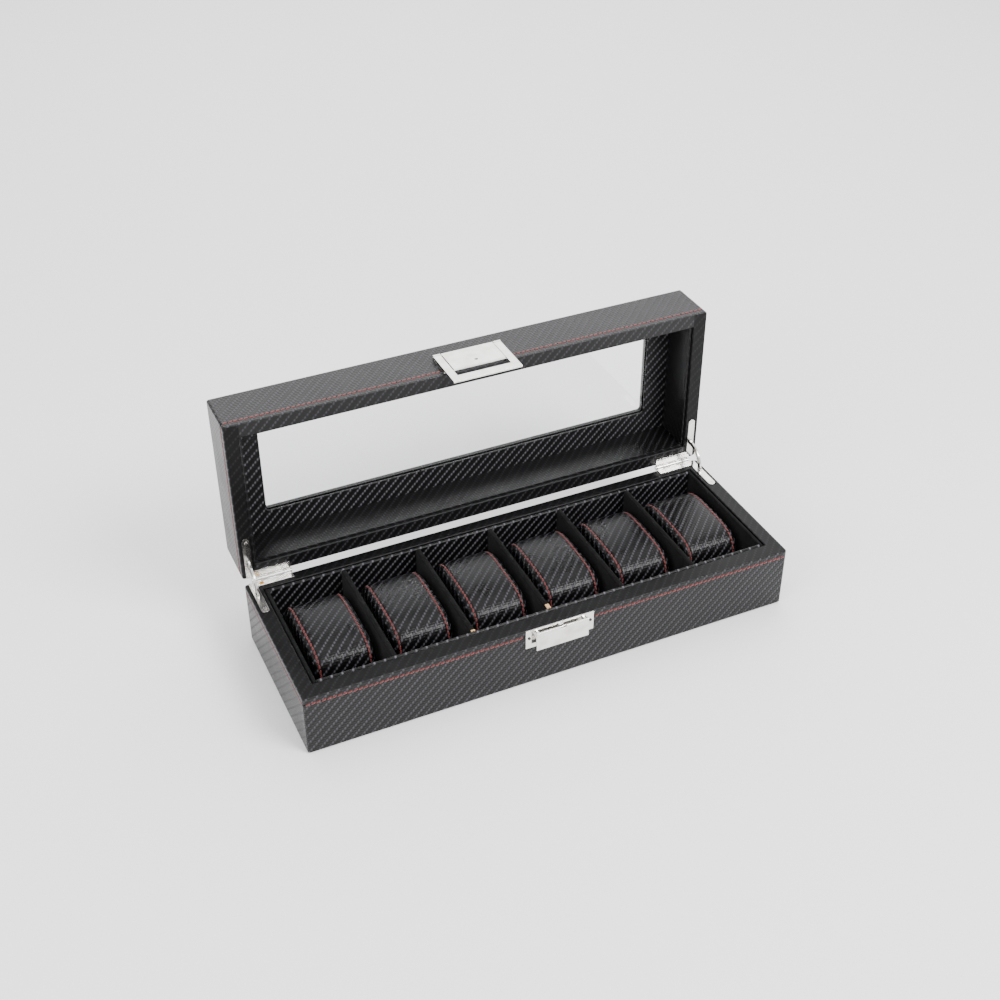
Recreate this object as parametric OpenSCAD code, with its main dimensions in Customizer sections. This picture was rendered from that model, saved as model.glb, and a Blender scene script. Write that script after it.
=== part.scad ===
// Watch box with a glazed hinged lid: boards wrapped in leatherette, six lift-out
// cushions between dividers, two quadrant hinges, and a swing hasp with a flip catch.
// Millimetres. The origin is the centre of the base's underside; +X is to the right,
// +Y to the rear and +Z up. Lid parts are drawn shut and turned about the hinge axis.

/* [Box] */
// Outside width, side to side
box_w = 320; // [300:1:360]
// Outside depth, front to back
box_d = 111; // [108:1:125]
// Height of the base, underside to rim
base_h = 42.5; // [42:0.5:50]
// Height of the lid, rim to top
lid_h = 33.5; // [32:0.5:45]
// Gap between the rims when shut
rim_gap = 1; // [0.8:0.1:1.2]
// Opening angle of the lid as drawn
lid_angle = 90; // [0:5:90]

/* [Walls] */
// Front wall of the base, wrapped
front_wall = 10.6; // [9:0.1:12]
// Rear wall of the base, wrapped
rear_wall = 8; // [7.5:0.1:9]
// Side walls of the base, wrapped
side_wall = 9.4; // [9:0.1:11]
// All four walls of the lid, wrapped
lid_wall = 9.2; // [9:0.1:11]
// Thickness of the leatherette wrap
skin = 0.8; // [0.6:0.1:0.9]
// Felt sheet under the base
felt = 0.6; // [0.4:0.1:1]
// Floor board of the base
floor_board = 3; // [2.5:0.5:4]
// Length of wrap turned in over the rim
turn_in = 12; // [8:1:15]
// Distance of the stitched line from the rim
stitch_drop = 4.5; // [4:0.5:6]

/* [Tray] */
// Number of watch places
places = 6; // [6:1:6]
// Wrapped liner cards inside the walls
liner = 2.2; // [1.8:0.1:2.4]
// Gap between a wall and its liner
liner_gap = 0.8; // [0.6:0.1:1]
// Divider between two places
divider = 3.4; // [3:0.1:4]
// Padded card on the tray floor
tray_pad = 1.6; // [1.2:0.2:2.4]

/* [Cushion] */
// Width of a cushion, side to side
cushion_w = 41.6; // [38:0.2:42]
// Length of a cushion, front to back
cushion_l = 65; // [60:1:72]
// Height of a cushion's flattened oval section
cushion_h = 35.3; // [30:0.1:35.5]
// Cushion cover over the foam core
cushion_cover = 1.6; // [1:0.1:2]

/* [Window] */
// Width of the window
window_w = 266; // [240:1:280]
// Depth of the window, front to back
window_d = 58.5; // [50:0.5:62]
// Top frame board
frame_board = 2.4; // [2:0.1:3]
// Glass thickness
glass = 1.6; // [1.4:0.1:2]
// Overlap of the glass on the frame, each side
glass_lip = 5; // [4:0.5:6]
// Lip of the retaining frame under the glass
retainer_lip = 1.4; // [1.2:0.1:2]
// Lining cards inside the lid walls
lid_lining_t = 1.2; // [1:0.1:1.5]

/* [Hinge] */
// Hinge axis behind the rear face
axis_back = 1.9; // [1.9:0.1:2.2]
// Radius of the knuckle barrels
barrel_r = 1.8; // [1.6:0.1:1.8]
// Radius of the hinge pins
hinge_pin_r = 0.9; // [0.8:0.05:0.95]
// Thickness of the leaves
leaf_t = 1.2; // [1:0.1:1.2]
// Length of a leaf's side arm, from the axis
arm_reach = 32; // [30:0.5:34]
// Width of a leaf's side arm
arm_w = 4.6; // [4.4:0.1:5]
// Length of a leaf's rear part
leaf_len = 28; // [26:0.5:32]
// Mean radius of the quadrant stay
stay_r = 14; // [13.5:0.1:14.5]
// Radial width of the quadrant stay
stay_w = 3.2; // [3:0.1:3.4]
// Thickness of the quadrant stay
stay_t = 1.2; // [1:0.1:1.2]

/* [Latch] */
// Width of the back plates and of the hasp loop
plate_w = 45; // [44:0.5:48]
// Width of the catch lever
lever_w = 34.5; // [34:0.5:35]
// Height of the catch lever
lever_h = 13.2; // [12:0.2:14]
// Height of the catch back plate
catch_h = 13.2; // [12:0.2:13.4]
// Length of the hasp loop, outside
loop_h = 34; // [33:0.5:35]
// Width of the loop's arms
loop_arm = 4.9; // [4.5:0.1:5]
// Height of the loop's grip bar
loop_bar = 6; // [5:0.5:6.5]
// Sheet thickness of the latch plates
sheet = 0.8; // [0.7:0.1:0.9]

/* [Hidden] */

$fn = 48;
eps = 0.01;
fit = 0.05;

leatherette = [0.15, 0.15, 0.155];
suede = [0.09, 0.09, 0.09];
fibreboard = [0.62, 0.48, 0.33];
chrome = [0.82, 0.82, 0.84];
red_thread = [0.62, 0.12, 0.1];
foam = [0.75, 0.74, 0.7];

// wrap
corner_r = 1.5;
turn_under = 16;
groove_half = 0.35;
groove_depth = 0.5;
thread_half = 0.3;
thread_depth = 0.45;
thread_inset = 0.05;

// base
front_y = -box_d / 2;
rear_y = box_d / 2;
well_x = box_w / 2 - side_wall;
well_front = front_y + front_wall;
well_rear = rear_y - rear_wall;
board_z = felt + skin;
floor_top = board_z + floor_board;
rim_z = base_h - skin;

// tray
inner_x = well_x - liner_gap - liner;
inner_front = well_front + liner_gap + liner;
inner_rear = well_rear - liner_gap - liner;
liner_top = base_h - 0.2;
divider_top = base_h - 0.4;
place_w = (2 * inner_x - (places - 1) * divider) / places;
place_pitch = place_w + divider;
pad_top = floor_top + tray_pad;
tray_y = (inner_front + inner_rear) / 2;
cushion_back = 2.7;
cushion_y = tray_y + cushion_back;
cushion_z = pad_top + 0.1 + cushion_h / 2;

// lid, shut
hinge_y = rear_y + axis_back;
hinge_z = base_h + rim_gap / 2;
lid_rim = base_h + rim_gap;
lid_top = lid_rim + lid_h;
lid_x = box_w / 2 - lid_wall;
lid_y = box_d / 2 - lid_wall;
frame_z = lid_top - skin - frame_board;
glass_z = frame_z - glass;
retainer_z = glass_z - retainer_lip;
glass_w = window_w + 2 * glass_lip;
glass_d = window_d + 2 * glass_lip;

// hinge
arm_x = -box_w / 2 + side_wall / 2;
leaf_left = arm_x - arm_w / 2;
leaf_top = -0.1;
leaf_inner = hinge_y - 6.8;
leaf_outer = hinge_y - axis_back - 0.2;
knuckles = 5;
knuckle_start = leaf_left + 3.6;
knuckle_pitch = (leaf_len - 3.6) / knuckles;
knuckle_gap = 0.2;
stay_end = 11.5;
stay_tab = 4;
tab_rise = 0.6;
mortise_side = 0.4;
mortise_half = 2.7;
mortise_turn = 60;
seat_play = 0.15;
screw_r = 0.8;
screw_head_r = 1.5;
screw_head_t = 0.6;
screw_len = 6;
screw_play = 0.05;
screw_slot = [1.8, 0.35, 0.7];
pin_head_r = 1.4;
pin_head_t = 0.6;
pin_over = 0.7;
screw_places = [
  [arm_x, hinge_y - arm_reach + arm_w / 2],
  [leaf_left + 8, (leaf_inner + leaf_outer) / 2],
  [leaf_left + 23, (leaf_inner + leaf_outer) / 2]
];

// latch, shut
plate_y = front_y - sheet;
loop_back = front_y - 1.6;
loop_t = 1.2;
loop_top = 63.7;
loop_bottom = loop_top - loop_h;
hasp_pin_y = front_y - 1.75;
hasp_pin_z = loop_top - 1.5;
hasp_eye_r = 1.5;
hasp_pin_r = 0.7;
tongue_w = lever_w - 0.3;
tongue_bottom = 42.4;
catch_top = base_h - 0.2;
lever_y = front_y - 3.9;
lever_t = 1;
lever_top = 42.2;
catch_pin_y = front_y - 2.5;
catch_pin_z = 40;
catch_pin_r = 0.6;
lug_r = 1.3;
cheek_r = 1.6;
catch_nail = [20.3, 36.7];
hasp_nail_z = 48;
hasp_nail_x = 12;
nail_r = 0.5;
nail_hole_r = 0.55;
nail_head_r = 0.95;
nail_head_t = 0.4;
nail_len = 7;
nail_hole_len = 9;
lug_back = 2.3;
lug_t = 1;
tongue_hole_r = 1.1;
pin_end = 0.15;

module block(low, high) translate(low) cube(high - low);

module rounded(w, d, r) {
  square([w - 2 * r, d], center = true);
  square([w, d - 2 * r], center = true);
  for (x = [-1, 1], y = [-1, 1]) translate([x * (w / 2 - r), y * (d / 2 - r)]) circle(r);
}

// flat ring between a rounded outer outline and a square inner one
module ring(z0, z1, r, well) {
  translate([0, 0, z0]) linear_extrude(z1 - z0) difference() {
    rounded(box_w, box_d, r);
    translate([-well[0], well[1]]) square([2 * well[0], well[2] - well[1]]);
  }
}

// four skins lining a rectangular well, on the wall side of it
module well_skin(z0, z1, well) {
  translate([0, 0, z0]) linear_extrude(z1 - z0) difference() {
    translate([-well[0] - skin, well[1] - skin])
      square([2 * (well[0] + skin), well[2] - well[1] + 2 * skin]);
    translate([-well[0], well[1]]) square([2 * well[0], well[2] - well[1]]);
  }
}

// groove for the stitched line round the outside
module stitch_groove(z) {
  x = box_w / 2 - groove_depth;
  difference() {
    block([-box_w / 2 - 1, front_y - 1, z - groove_half], [box_w / 2 + 1, rear_y + 1, z + groove_half]);
    block([-x, front_y + groove_depth, z - 1], [x, rear_y - groove_depth, z + 1]);
  }
}

module stitch_thread(z) {
  corner = 6;
  translate([0, 0, z - thread_half]) linear_extrude(2 * thread_half) difference() {
    square([box_w - 2 * thread_inset, box_d - 2 * thread_inset], center = true);
    square([box_w - 2 * thread_depth, box_d - 2 * thread_depth], center = true);
    for (x = [-1, 1], y = [-1, 1]) translate([x * box_w / 2, y * box_d / 2]) square(corner, center = true);
  }
}

module opened() {
  translate([0, hinge_y, hinge_z]) rotate([-lid_angle, 0, 0]) translate([0, -hinge_y, -hinge_z]) children();
}

module both_sides() {
  children();
  mirror([1, 0, 0]) children();
}

// card standing on edge, with a rounded top, running along X from its middle
module card_x(len, t, h) {
  rotate([90, 0, 90]) translate([0, 0, -len / 2]) linear_extrude(len) {
    translate([-t / 2, 0]) square([t, h - t / 2]);
    translate([0, h - t / 2]) circle(t / 2);
  }
}

module card_y(len, t, h) rotate([0, 0, 90]) card_x(len, t, h);

// hinge parts, about the hinge axis at the left end of the box

module about_axis() translate([0, hinge_y, hinge_z]) children();

// part of a flat ring between two angles, in the YZ plane
module sector(r0, r1, t, a0, a1) {
  far = 3 * r1;
  steps = 4;
  wedge = [for (i = [0:steps]) let (a = a0 + (a1 - a0) * i / steps) [far * cos(a), far * sin(a)]];
  rotate([0, 90, 0]) translate([0, 0, -t / 2]) linear_extrude(t) intersection() {
    difference() {
      circle(r1);
      circle(r0);
    }
    polygon(concat([[0, 0]], wedge));
  }
}

// sector whose angle 0 points forward along the rim and grows upwards
module quadrant(r0, r1, t, a0, a1) {
  about_axis() translate([arm_x, 0, 0]) sector(r0, r1, t, -90 - a1, -90 - a0);
}

module leaf_seat() {
  z = hinge_z + leaf_top - leaf_t;
  left = leaf_left - seat_play;
  high = z + 3;
  block([left, hinge_y - arm_reach - seat_play, z], [leaf_left + arm_w + seat_play, rear_y - 2, high]);
  block([left, leaf_inner - seat_play, z], [leaf_left + leaf_len + seat_play, rear_y + 1, high]);
}

module base_mortise() {
  quadrant(stay_r - mortise_half, stay_r + mortise_half, stay_t + 2 * mortise_side, -mortise_turn, 0);
}

module lid_mortise() mirror_rim() base_mortise();

module mirror_rim() translate([0, 0, hinge_z]) mirror([0, 0, 1]) translate([0, 0, -hinge_z]) children();

module leaf_outline() {
  r = arm_w / 2;
  tip = hinge_y - arm_reach + r;
  translate([leaf_left, tip]) square([arm_w, leaf_outer - tip]);
  translate([leaf_left + r, tip]) circle(r);
  translate([leaf_left, leaf_inner]) square([leaf_len, leaf_outer - leaf_inner]);
}

module stay_slot() {
  side = 0.3;
  slot_w = stay_t + 2 * side;
  translate([arm_x - slot_w / 2, hinge_y - stay_r - stay_w / 2 - side]) square([slot_w, stay_w + 2 * side]);
}

// one leaf under the hinge plane; first is the index of its first knuckle
module leaf(first) {
  z = hinge_z + leaf_top - leaf_t;
  difference() {
    union() {
      translate([0, 0, z]) linear_extrude(leaf_t) leaf_outline();
      for (k = [first:2:knuckles - 1]) {
        x = knuckle_start + k * knuckle_pitch;
        len = knuckle_pitch - knuckle_gap;
        block([x, leaf_outer - eps, z], [x + len, hinge_y, z + leaf_t]);
        translate([x, hinge_y, hinge_z]) rotate([0, 90, 0]) cylinder(r = barrel_r, h = len);
      }
    }
    translate([knuckle_start - 1, hinge_y, hinge_z]) rotate([0, 90, 0])
      cylinder(r = hinge_pin_r + fit, h = leaf_len + 2);
    translate([0, 0, z - 1]) linear_extrude(leaf_t + 2) stay_slot();
    for (p = screw_places) translate([p[0], p[1], z - 1]) {
      cylinder(r = screw_r + 2 * screw_play, h = leaf_t + 2);
      translate([0, 0, 1 + leaf_t - screw_head_t - 2 * screw_play])
        cylinder(r = screw_head_r + screw_play, h = 2);
    }
  }
}

module hinge_screws() {
  z = hinge_z + leaf_top - leaf_t;
  for (p = screw_places) translate([p[0], p[1], z]) difference() {
    union() {
      translate([0, 0, -screw_len]) cylinder(r = screw_r, h = screw_len + leaf_t - screw_play);
      translate([0, 0, leaf_t - screw_head_t - screw_play]) cylinder(r = screw_head_r, h = screw_head_t);
    }
    for (a = [45, 135]) translate([0, 0, leaf_t]) rotate([0, 0, a]) cube(screw_slot, center = true);
  }
}

module screw_pilots() {
  z = hinge_z + leaf_top - leaf_t;
  deep = screw_len + 0.5;
  for (p = screw_places) translate([p[0], p[1], z - deep])
    cylinder(r = screw_r + screw_play, h = deep + 0.5);
}

module hinge_pin() {
  len = knuckles * knuckle_pitch - knuckle_gap + 2 * pin_over;
  translate([knuckle_start - pin_over, hinge_y, hinge_z]) rotate([0, 90, 0]) {
    cylinder(r = hinge_pin_r, h = len);
    cylinder(r = pin_head_r, h = pin_head_t);
    translate([0, 0, len - pin_head_t]) cylinder(r = pin_head_r, h = pin_head_t);
  }
}

module stay() {
  turn = (90 - lid_angle) / 2;
  half = stay_w / 2;
  tab = half + tab_rise;
  lap = 1;
  low = -stay_end;
  high = 90 + stay_end;
  about_axis() rotate([turn, 0, 0]) translate([0, -hinge_y, -hinge_z]) {
    quadrant(stay_r - half, stay_r + half, stay_t, low + lap, high - lap);
    quadrant(stay_r - tab, stay_r + tab, stay_t, low, low + stay_tab);
    quadrant(stay_r - tab, stay_r + tab, stay_t, high - stay_tab, high);
  }
}

// base

module base_side_board() {
  difference() {
    block([-box_w / 2 + skin, front_y + skin, board_z], [-well_x - skin, rear_y - skin, rim_z]);
    base_mortise();
    screw_pilots();
  }
}

module base_cross_board(y0, y1) {
  x = well_x + skin;
  block([-x, y0, board_z], [x, y1, rim_z]);
}

module base_front_board() color(fibreboard) difference() {
  base_cross_board(front_y + skin, well_front - skin);
  both_sides() catch_nail_hole();
}

module base_rear_board() color(fibreboard) difference() {
  base_cross_board(well_rear + skin, rear_y - skin);
  both_sides() screw_pilots();
}

module base_left_board() color(fibreboard) base_side_board();

module base_right_board() color(fibreboard) mirror([1, 0, 0]) base_side_board();

module base_floor_board() color(fibreboard) {
  x = well_x + skin;
  block([-x, well_front - skin, board_z], [x, well_rear + skin, floor_top]);
}

module base_cover() color(leatherette) {
  well = [well_x, well_front, well_rear];
  shell = [box_w / 2 - skin, front_y + skin, rear_y - skin];
  under = [box_w / 2 - turn_under, front_y + turn_under, rear_y - turn_under];
  difference() {
    union() {
      ring(felt, base_h, corner_r, shell);
      ring(rim_z, base_h, corner_r, well);
      ring(felt, board_z, corner_r, under);
      well_skin(rim_z - turn_in, base_h, well);
    }
    both_sides() {
      leaf_seat();
      catch_nail_hole();
    }
    stitch_groove(base_h - stitch_drop);
  }
}

module base_underlay() color(suede) {
  edge = 1.5;
  block([-box_w / 2 + edge, front_y + edge, 0], [box_w / 2 - edge, rear_y - edge, felt]);
}

module base_stitching() color(red_thread) stitch_thread(base_h - stitch_drop);

module liner_card_x(y) translate([0, y, floor_top]) card_x(2 * inner_x - 0.1, liner, liner_top - floor_top);

module liner_card_y(x) {
  len = well_rear - well_front - 2 * liner_gap;
  mid = (well_front + well_rear) / 2;
  translate([x, mid, floor_top]) card_y(len, liner, liner_top - floor_top);
}

module liner_front() color(leatherette) liner_card_x(inner_front - liner / 2);
module liner_rear() color(leatherette) liner_card_x(inner_rear + liner / 2);
module liner_left() color(suede) liner_card_y(-inner_x - liner / 2);
module liner_right() color(suede) liner_card_y(inner_x + liner / 2);

module tray_floor() color(suede) {
  play = 0.1;
  block([-inner_x + play, inner_front + play, floor_top], [inner_x - play, inner_rear - play, pad_top]);
}

// divider n stands between places n and n + 1
module divider_card(n) color(suede) {
  len = inner_rear - inner_front - 0.1;
  translate([(n - places / 2) * place_pitch, tray_y, pad_top]) card_y(len, divider, divider_top - pad_top);
}

// flattened oval: power 2 is an ellipse, a higher one is squarer
function swell(c, power) = sign(c) * pow(abs(c), 2 / power);
function oval(a, b, power, n) =
  [for (i = [0:n - 1]) [a * swell(cos(i * 360 / n), power), b * swell(sin(i * 360 / n), power)]];

module oval_roll(n, inset) {
  power = 3.4;
  points = 48;
  w = cushion_w - 2 * inset;
  x = (n - (places + 1) / 2) * place_pitch;
  translate([x - w / 2, cushion_y, cushion_z]) rotate([90, 0, 90]) linear_extrude(w)
    polygon(oval(cushion_l / 2 - inset, cushion_h / 2 - inset, power, points));
}

module cushion(n) color(leatherette) difference() {
  oval_roll(n, 0);
  oval_roll(n, cushion_cover);
}

module cushion_core(n) color(foam) oval_roll(n, cushion_cover);

module left_base_leaf() color(chrome) leaf(0);
module right_base_leaf() mirror([1, 0, 0]) left_base_leaf();
module left_hinge_pin() color(chrome) hinge_pin();
module right_hinge_pin() mirror([1, 0, 0]) left_hinge_pin();
module base_hinge_screws() color(chrome) both_sides() hinge_screws();

// lid, drawn shut

module lid_side_board() {
  difference() {
    block([-box_w / 2 + skin, front_y + skin, lid_rim + skin], [-lid_x - skin, rear_y - skin, frame_z]);
    lid_mortise();
    mirror_rim() screw_pilots();
  }
}

module lid_cross_board(y0, y1) {
  x = lid_x + skin;
  block([-x, y0, lid_rim + skin], [x, y1, frame_z]);
}

module lid_front_board() color(fibreboard) opened() difference() {
  lid_cross_board(front_y + skin, -lid_y - skin);
  for (n = [-1:1]) hasp_nail_hole(n);
}

module lid_rear_board() color(fibreboard) opened() difference() {
  lid_cross_board(lid_y + skin, rear_y - skin);
  both_sides() mirror_rim() screw_pilots();
}

module lid_left_board() color(fibreboard) opened() lid_side_board();
module lid_right_board() color(fibreboard) opened() mirror([1, 0, 0]) lid_side_board();

module lid_top_frame() color(fibreboard) opened() difference() {
  block([-box_w / 2 + skin, front_y + skin, frame_z], [box_w / 2 - skin, rear_y - skin, lid_top - skin]);
  window(frame_z - 1, lid_top, skin);
}

module window(z0, z1, margin) {
  w = window_w + 2 * margin;
  d = window_d + 2 * margin;
  translate([0, 0, z0]) linear_extrude(z1 - z0) rounded(w, d, 2);
}

module lid_cover() color(leatherette) opened() {
  well = [lid_x, -lid_y, lid_y];
  shell = [box_w / 2 - skin, front_y + skin, rear_y - skin];
  difference() {
    union() {
      ring(lid_rim, lid_top, corner_r, shell);
      ring(lid_rim, lid_rim + skin, corner_r, well);
      well_skin(lid_rim, lid_rim + skin + turn_in, well);
      translate([0, 0, lid_top - skin]) linear_extrude(skin) rounded(box_w, box_d, corner_r);
      window(frame_z, lid_top, skin);
    }
    window(frame_z - 1, lid_top + 1, 0);
    both_sides() mirror_rim() leaf_seat();
    for (n = [-1:1]) hasp_nail_hole(n);
    stitch_groove(lid_rim + stitch_drop);
  }
}

module lid_stitching() color(red_thread) opened() difference() {
  stitch_thread(lid_rim + stitch_drop);
  for (n = [-1:1]) hasp_nail_hole(n);
}

module lid_glass() color([0.8, 0.9, 0.95, 0.3]) opened()
  translate([0, 0, glass_z + glass / 2]) cube([glass_w, glass_d, glass], center = true);

module glass_retainer() color(leatherette) opened() difference() {
  x = lid_x - 0.1;
  y = lid_y - 0.1;
  play = 0.1;
  block([-x, -y, retainer_z], [x, y, frame_z]);
  translate([0, 0, glass_z + 5]) cube([glass_w + 2 * play, glass_d + 2 * play, 10], center = true);
  window(retainer_z - 1, frame_z, 0.5);
}

module lid_lining() color(suede) opened() {
  reveal = 2;
  play = 0.1;
  x = lid_x - play;
  y = lid_y - play;
  z = lid_rim + reveal;
  translate([0, 0, z]) linear_extrude(retainer_z - z) difference() {
    square([2 * x, 2 * y], center = true);
    square([2 * (x - lid_lining_t), 2 * (y - lid_lining_t)], center = true);
  }
}

module left_lid_leaf() color(chrome) opened() mirror_rim() leaf(1);
module right_lid_leaf() color(chrome) opened() mirror([1, 0, 0]) mirror_rim() leaf(1);
module lid_hinge_screws() color(chrome) opened() both_sides() mirror_rim() hinge_screws();
module left_stay() color(chrome) stay();
module right_stay() mirror([1, 0, 0]) left_stay();

// latch

module nail_hole(x, z) translate([x, front_y, z]) rotate([-90, 0, 0])
  cylinder(r = nail_hole_r, h = nail_hole_len, $fn = 24);

module nail(x, z) translate([x, plate_y - nail_head_t, z]) rotate([-90, 0, 0]) {
  cylinder(r = nail_head_r, h = nail_head_t);
  cylinder(r = nail_r, h = sheet + nail_head_t + nail_len);
}

module plate_hole(x, z) translate([x, plate_y - 1, z]) rotate([-90, 0, 0])
  cylinder(r = nail_hole_r, h = sheet + 2);

module catch_nail_hole() nail_hole(catch_nail[0], catch_nail[1]);
module hasp_nail_hole(n) nail_hole(n * hasp_nail_x, hasp_nail_z);

module catch_nails() color(chrome) both_sides() nail(catch_nail[0], catch_nail[1]);
module hasp_nails() color(chrome) opened() for (n = [-1:1]) nail(n * hasp_nail_x, hasp_nail_z);

// round lug standing off a back plate at x, in the YZ plane
module lug(x, t, r, y, z) {
  translate([x, y, z]) rotate([0, 90, 0]) cylinder(r = r, h = t);
  block([x, y, z - r], [x + t, front_y - eps, z + r]);
}

module catch_plate() color(chrome) difference() {
  union() {
    block([-plate_w / 2, plate_y, catch_top - catch_h], [plate_w / 2, front_y, catch_top]);
    both_sides() lug(lever_w / 2 - lug_back, lug_t, lug_r, catch_pin_y, catch_pin_z);
  }
  both_sides() plate_hole(catch_nail[0], catch_nail[1]);
  catch_pin_bore(0);
}

module catch_pin_bore(gap) {
  translate([-lever_w, catch_pin_y, catch_pin_z]) rotate([0, 90, 0])
    cylinder(r = catch_pin_r + gap, h = 2 * lever_w);
}

module catch_pin() color(chrome) {
  len = lever_w + 2 * pin_end;
  translate([-len / 2, catch_pin_y, catch_pin_z]) rotate([0, 90, 0]) cylinder(r = catch_pin_r, h = len);
}

// flat spring finger on the catch plate, reaching over the pin behind the lever's notch
module catch_spring() color(chrome) {
  w = 3.2;
  t = 0.45;
  top = lever_top - 0.1;
  foot = catch_pin_z - 3.8;
  tip = catch_pin_y + 0.15;
  block([-w / 2, plate_y - t, foot], [w / 2, plate_y, top]);
  block([-w / 2, tip, top - t], [w / 2, plate_y - t + eps, top]);
}

module catch_lever() color(chrome) {
  notch_w = 4.4;
  notch_h = 1.6;
  difference() {
    union() {
      block([-lever_w / 2, lever_y - lever_t, lever_top - lever_h], [lever_w / 2, lever_y, lever_top]);
      both_sides() lever_cheek();
    }
    block([-notch_w / 2, lever_y - 3, lever_top - notch_h], [notch_w / 2, lever_y + 1, lever_top + 1]);
    catch_pin_bore(fit);
  }
}

module lever_cheek() {
  t = 1;
  x = lever_w / 2 - t;
  translate([x, catch_pin_y, catch_pin_z]) rotate([0, 90, 0]) cylinder(r = cheek_r, h = t);
  block([x, lever_y - eps, catch_pin_z - cheek_r], [x + t, catch_pin_y, catch_pin_z + cheek_r]);
}

module hasp_plate() color(chrome) opened() {
  eye_gap = 0.3;
  above_rim = 1.2;
  ear_top = hasp_pin_z - hasp_eye_r - eye_gap;
  roll_r = 1.3;
  tongue_y = hasp_pin_y - roll_r;
  difference() {
    union() {
      block([-plate_w / 2, plate_y, lid_rim + above_rim], [plate_w / 2, front_y, ear_top]);
      block([-tongue_w / 2, plate_y, ear_top - 1], [tongue_w / 2, front_y, hasp_pin_z]);
      translate([-tongue_w / 2, hasp_pin_y, hasp_pin_z]) rotate([0, 90, 0])
        cylinder(r = roll_r, h = tongue_w);
      block([-tongue_w / 2, tongue_y, tongue_bottom], [tongue_w / 2, tongue_y + sheet, hasp_pin_z]);
    }
    hasp_pin_bore(0);
    for (n = [-1:1]) plate_hole(n * hasp_nail_x, hasp_nail_z);
    translate([0, tongue_y - 1, hasp_nail_z]) rotate([-90, 0, 0])
      cylinder(r = tongue_hole_r, h = sheet + 1.3);
  }
}

module hasp_pin_bore(gap) {
  translate([-box_w, hasp_pin_y, hasp_pin_z]) rotate([0, 90, 0])
    cylinder(r = hasp_pin_r + gap, h = 2 * box_w);
}

module hasp_pin() color(chrome) opened() {
  len = plate_w + 2 * pin_end;
  translate([-len / 2, hasp_pin_y, hasp_pin_z]) rotate([0, 90, 0]) cylinder(r = hasp_pin_r, h = len);
}

module hasp_loop() color(chrome) opened() difference() {
  slit_x = plate_w / 2 - loop_arm;
  union() {
    block([-plate_w / 2, loop_back - loop_t, loop_bottom], [plate_w / 2, loop_back, loop_bottom + loop_bar]);
    both_sides() {
      block([slit_x, loop_back - loop_t, loop_bottom], [plate_w / 2, loop_back, hasp_pin_z]);
      translate([slit_x, hasp_pin_y, hasp_pin_z]) rotate([0, 90, 0]) cylinder(r = hasp_eye_r, h = loop_arm);
    }
  }
  hasp_pin_bore(fit);
}

base_front_board();
base_rear_board();
base_left_board();
base_right_board();
base_floor_board();
base_cover();
base_underlay();
base_stitching();
liner_front();
liner_rear();
liner_left();
liner_right();
tray_floor();
for (n = [1:5]) divider_card(n);
left_base_leaf();
right_base_leaf();
left_hinge_pin();
right_hinge_pin();
base_hinge_screws();
catch_plate();
catch_pin();
catch_spring();
catch_nails();
lid_front_board();
lid_rear_board();
lid_left_board();
lid_right_board();
lid_top_frame();
lid_cover();
lid_stitching();
lid_glass();
glass_retainer();
lid_lining();
left_lid_leaf();
right_lid_leaf();
lid_hinge_screws();
hasp_plate();
hasp_pin();
hasp_nails();
hasp_loop();
catch_lever();
left_stay();
right_stay();
for (n = [1:6]) cushion(n);
for (n = [1:6]) cushion_core(n);
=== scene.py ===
import math
import random

import bmesh
import bpy
from mathutils import Matrix, Vector
from mathutils.bvhtree import BVHTree


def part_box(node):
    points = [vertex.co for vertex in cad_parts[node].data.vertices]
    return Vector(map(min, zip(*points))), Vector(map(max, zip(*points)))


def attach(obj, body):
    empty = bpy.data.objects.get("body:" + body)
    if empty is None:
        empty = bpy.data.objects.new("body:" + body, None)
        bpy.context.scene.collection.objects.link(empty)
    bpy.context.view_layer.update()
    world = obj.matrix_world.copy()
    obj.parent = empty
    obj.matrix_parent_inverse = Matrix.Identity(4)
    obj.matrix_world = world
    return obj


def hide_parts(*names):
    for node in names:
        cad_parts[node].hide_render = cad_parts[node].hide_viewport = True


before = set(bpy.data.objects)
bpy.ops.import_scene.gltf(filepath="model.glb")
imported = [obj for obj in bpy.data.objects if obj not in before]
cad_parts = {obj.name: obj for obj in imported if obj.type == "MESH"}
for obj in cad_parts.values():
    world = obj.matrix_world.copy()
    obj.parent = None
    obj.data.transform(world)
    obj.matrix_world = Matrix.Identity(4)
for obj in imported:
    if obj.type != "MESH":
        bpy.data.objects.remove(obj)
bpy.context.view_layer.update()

mm = 0.001
scene = bpy.context.scene

# the box as it is laid out, in mm: base between the rims' gap and the floor, lid turned up behind it
box = {
    "halfWidth": 160, "halfDepth": 55.5, "baseRim": 42.5, "underside": 0.6,
    "lidRim": 43.5, "lidTop": 77, "stitchDrop": 4.5, "latchHalf": 22.5,
    "hingeY": 57.4, "hingeZ": 43.0,
}


def linear(hexColour):
    channels = [int(hexColour[i:i + 2], 16) / 255 for i in (1, 3, 5)]
    return tuple(c / 12.92 if c <= 0.04045 else ((c + 0.055) / 1.055) ** 2.4 for c in channels) + (1,)


# adds a node, sets its properties, and fills or links its inputs
def addNode(tree, kind, inputs=None, **settings):
    made = tree.nodes.new(kind)
    for name, value in settings.items():
        setattr(made, name, value)
    for key, value in (inputs or {}).items():
        if isinstance(value, bpy.types.NodeSocket):
            tree.links.new(value, made.inputs[key])
        else:
            made.inputs[key].default_value = value
    return made


def startMaterial(name, **surface):
    material = bpy.data.materials.new(name)
    material.use_nodes = True
    tree = material.node_tree
    shader = tree.nodes["Principled BSDF"]
    for key, value in surface.items():
        shader.inputs[key.replace("_", " ")].default_value = value
    return material, tree, shader


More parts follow.
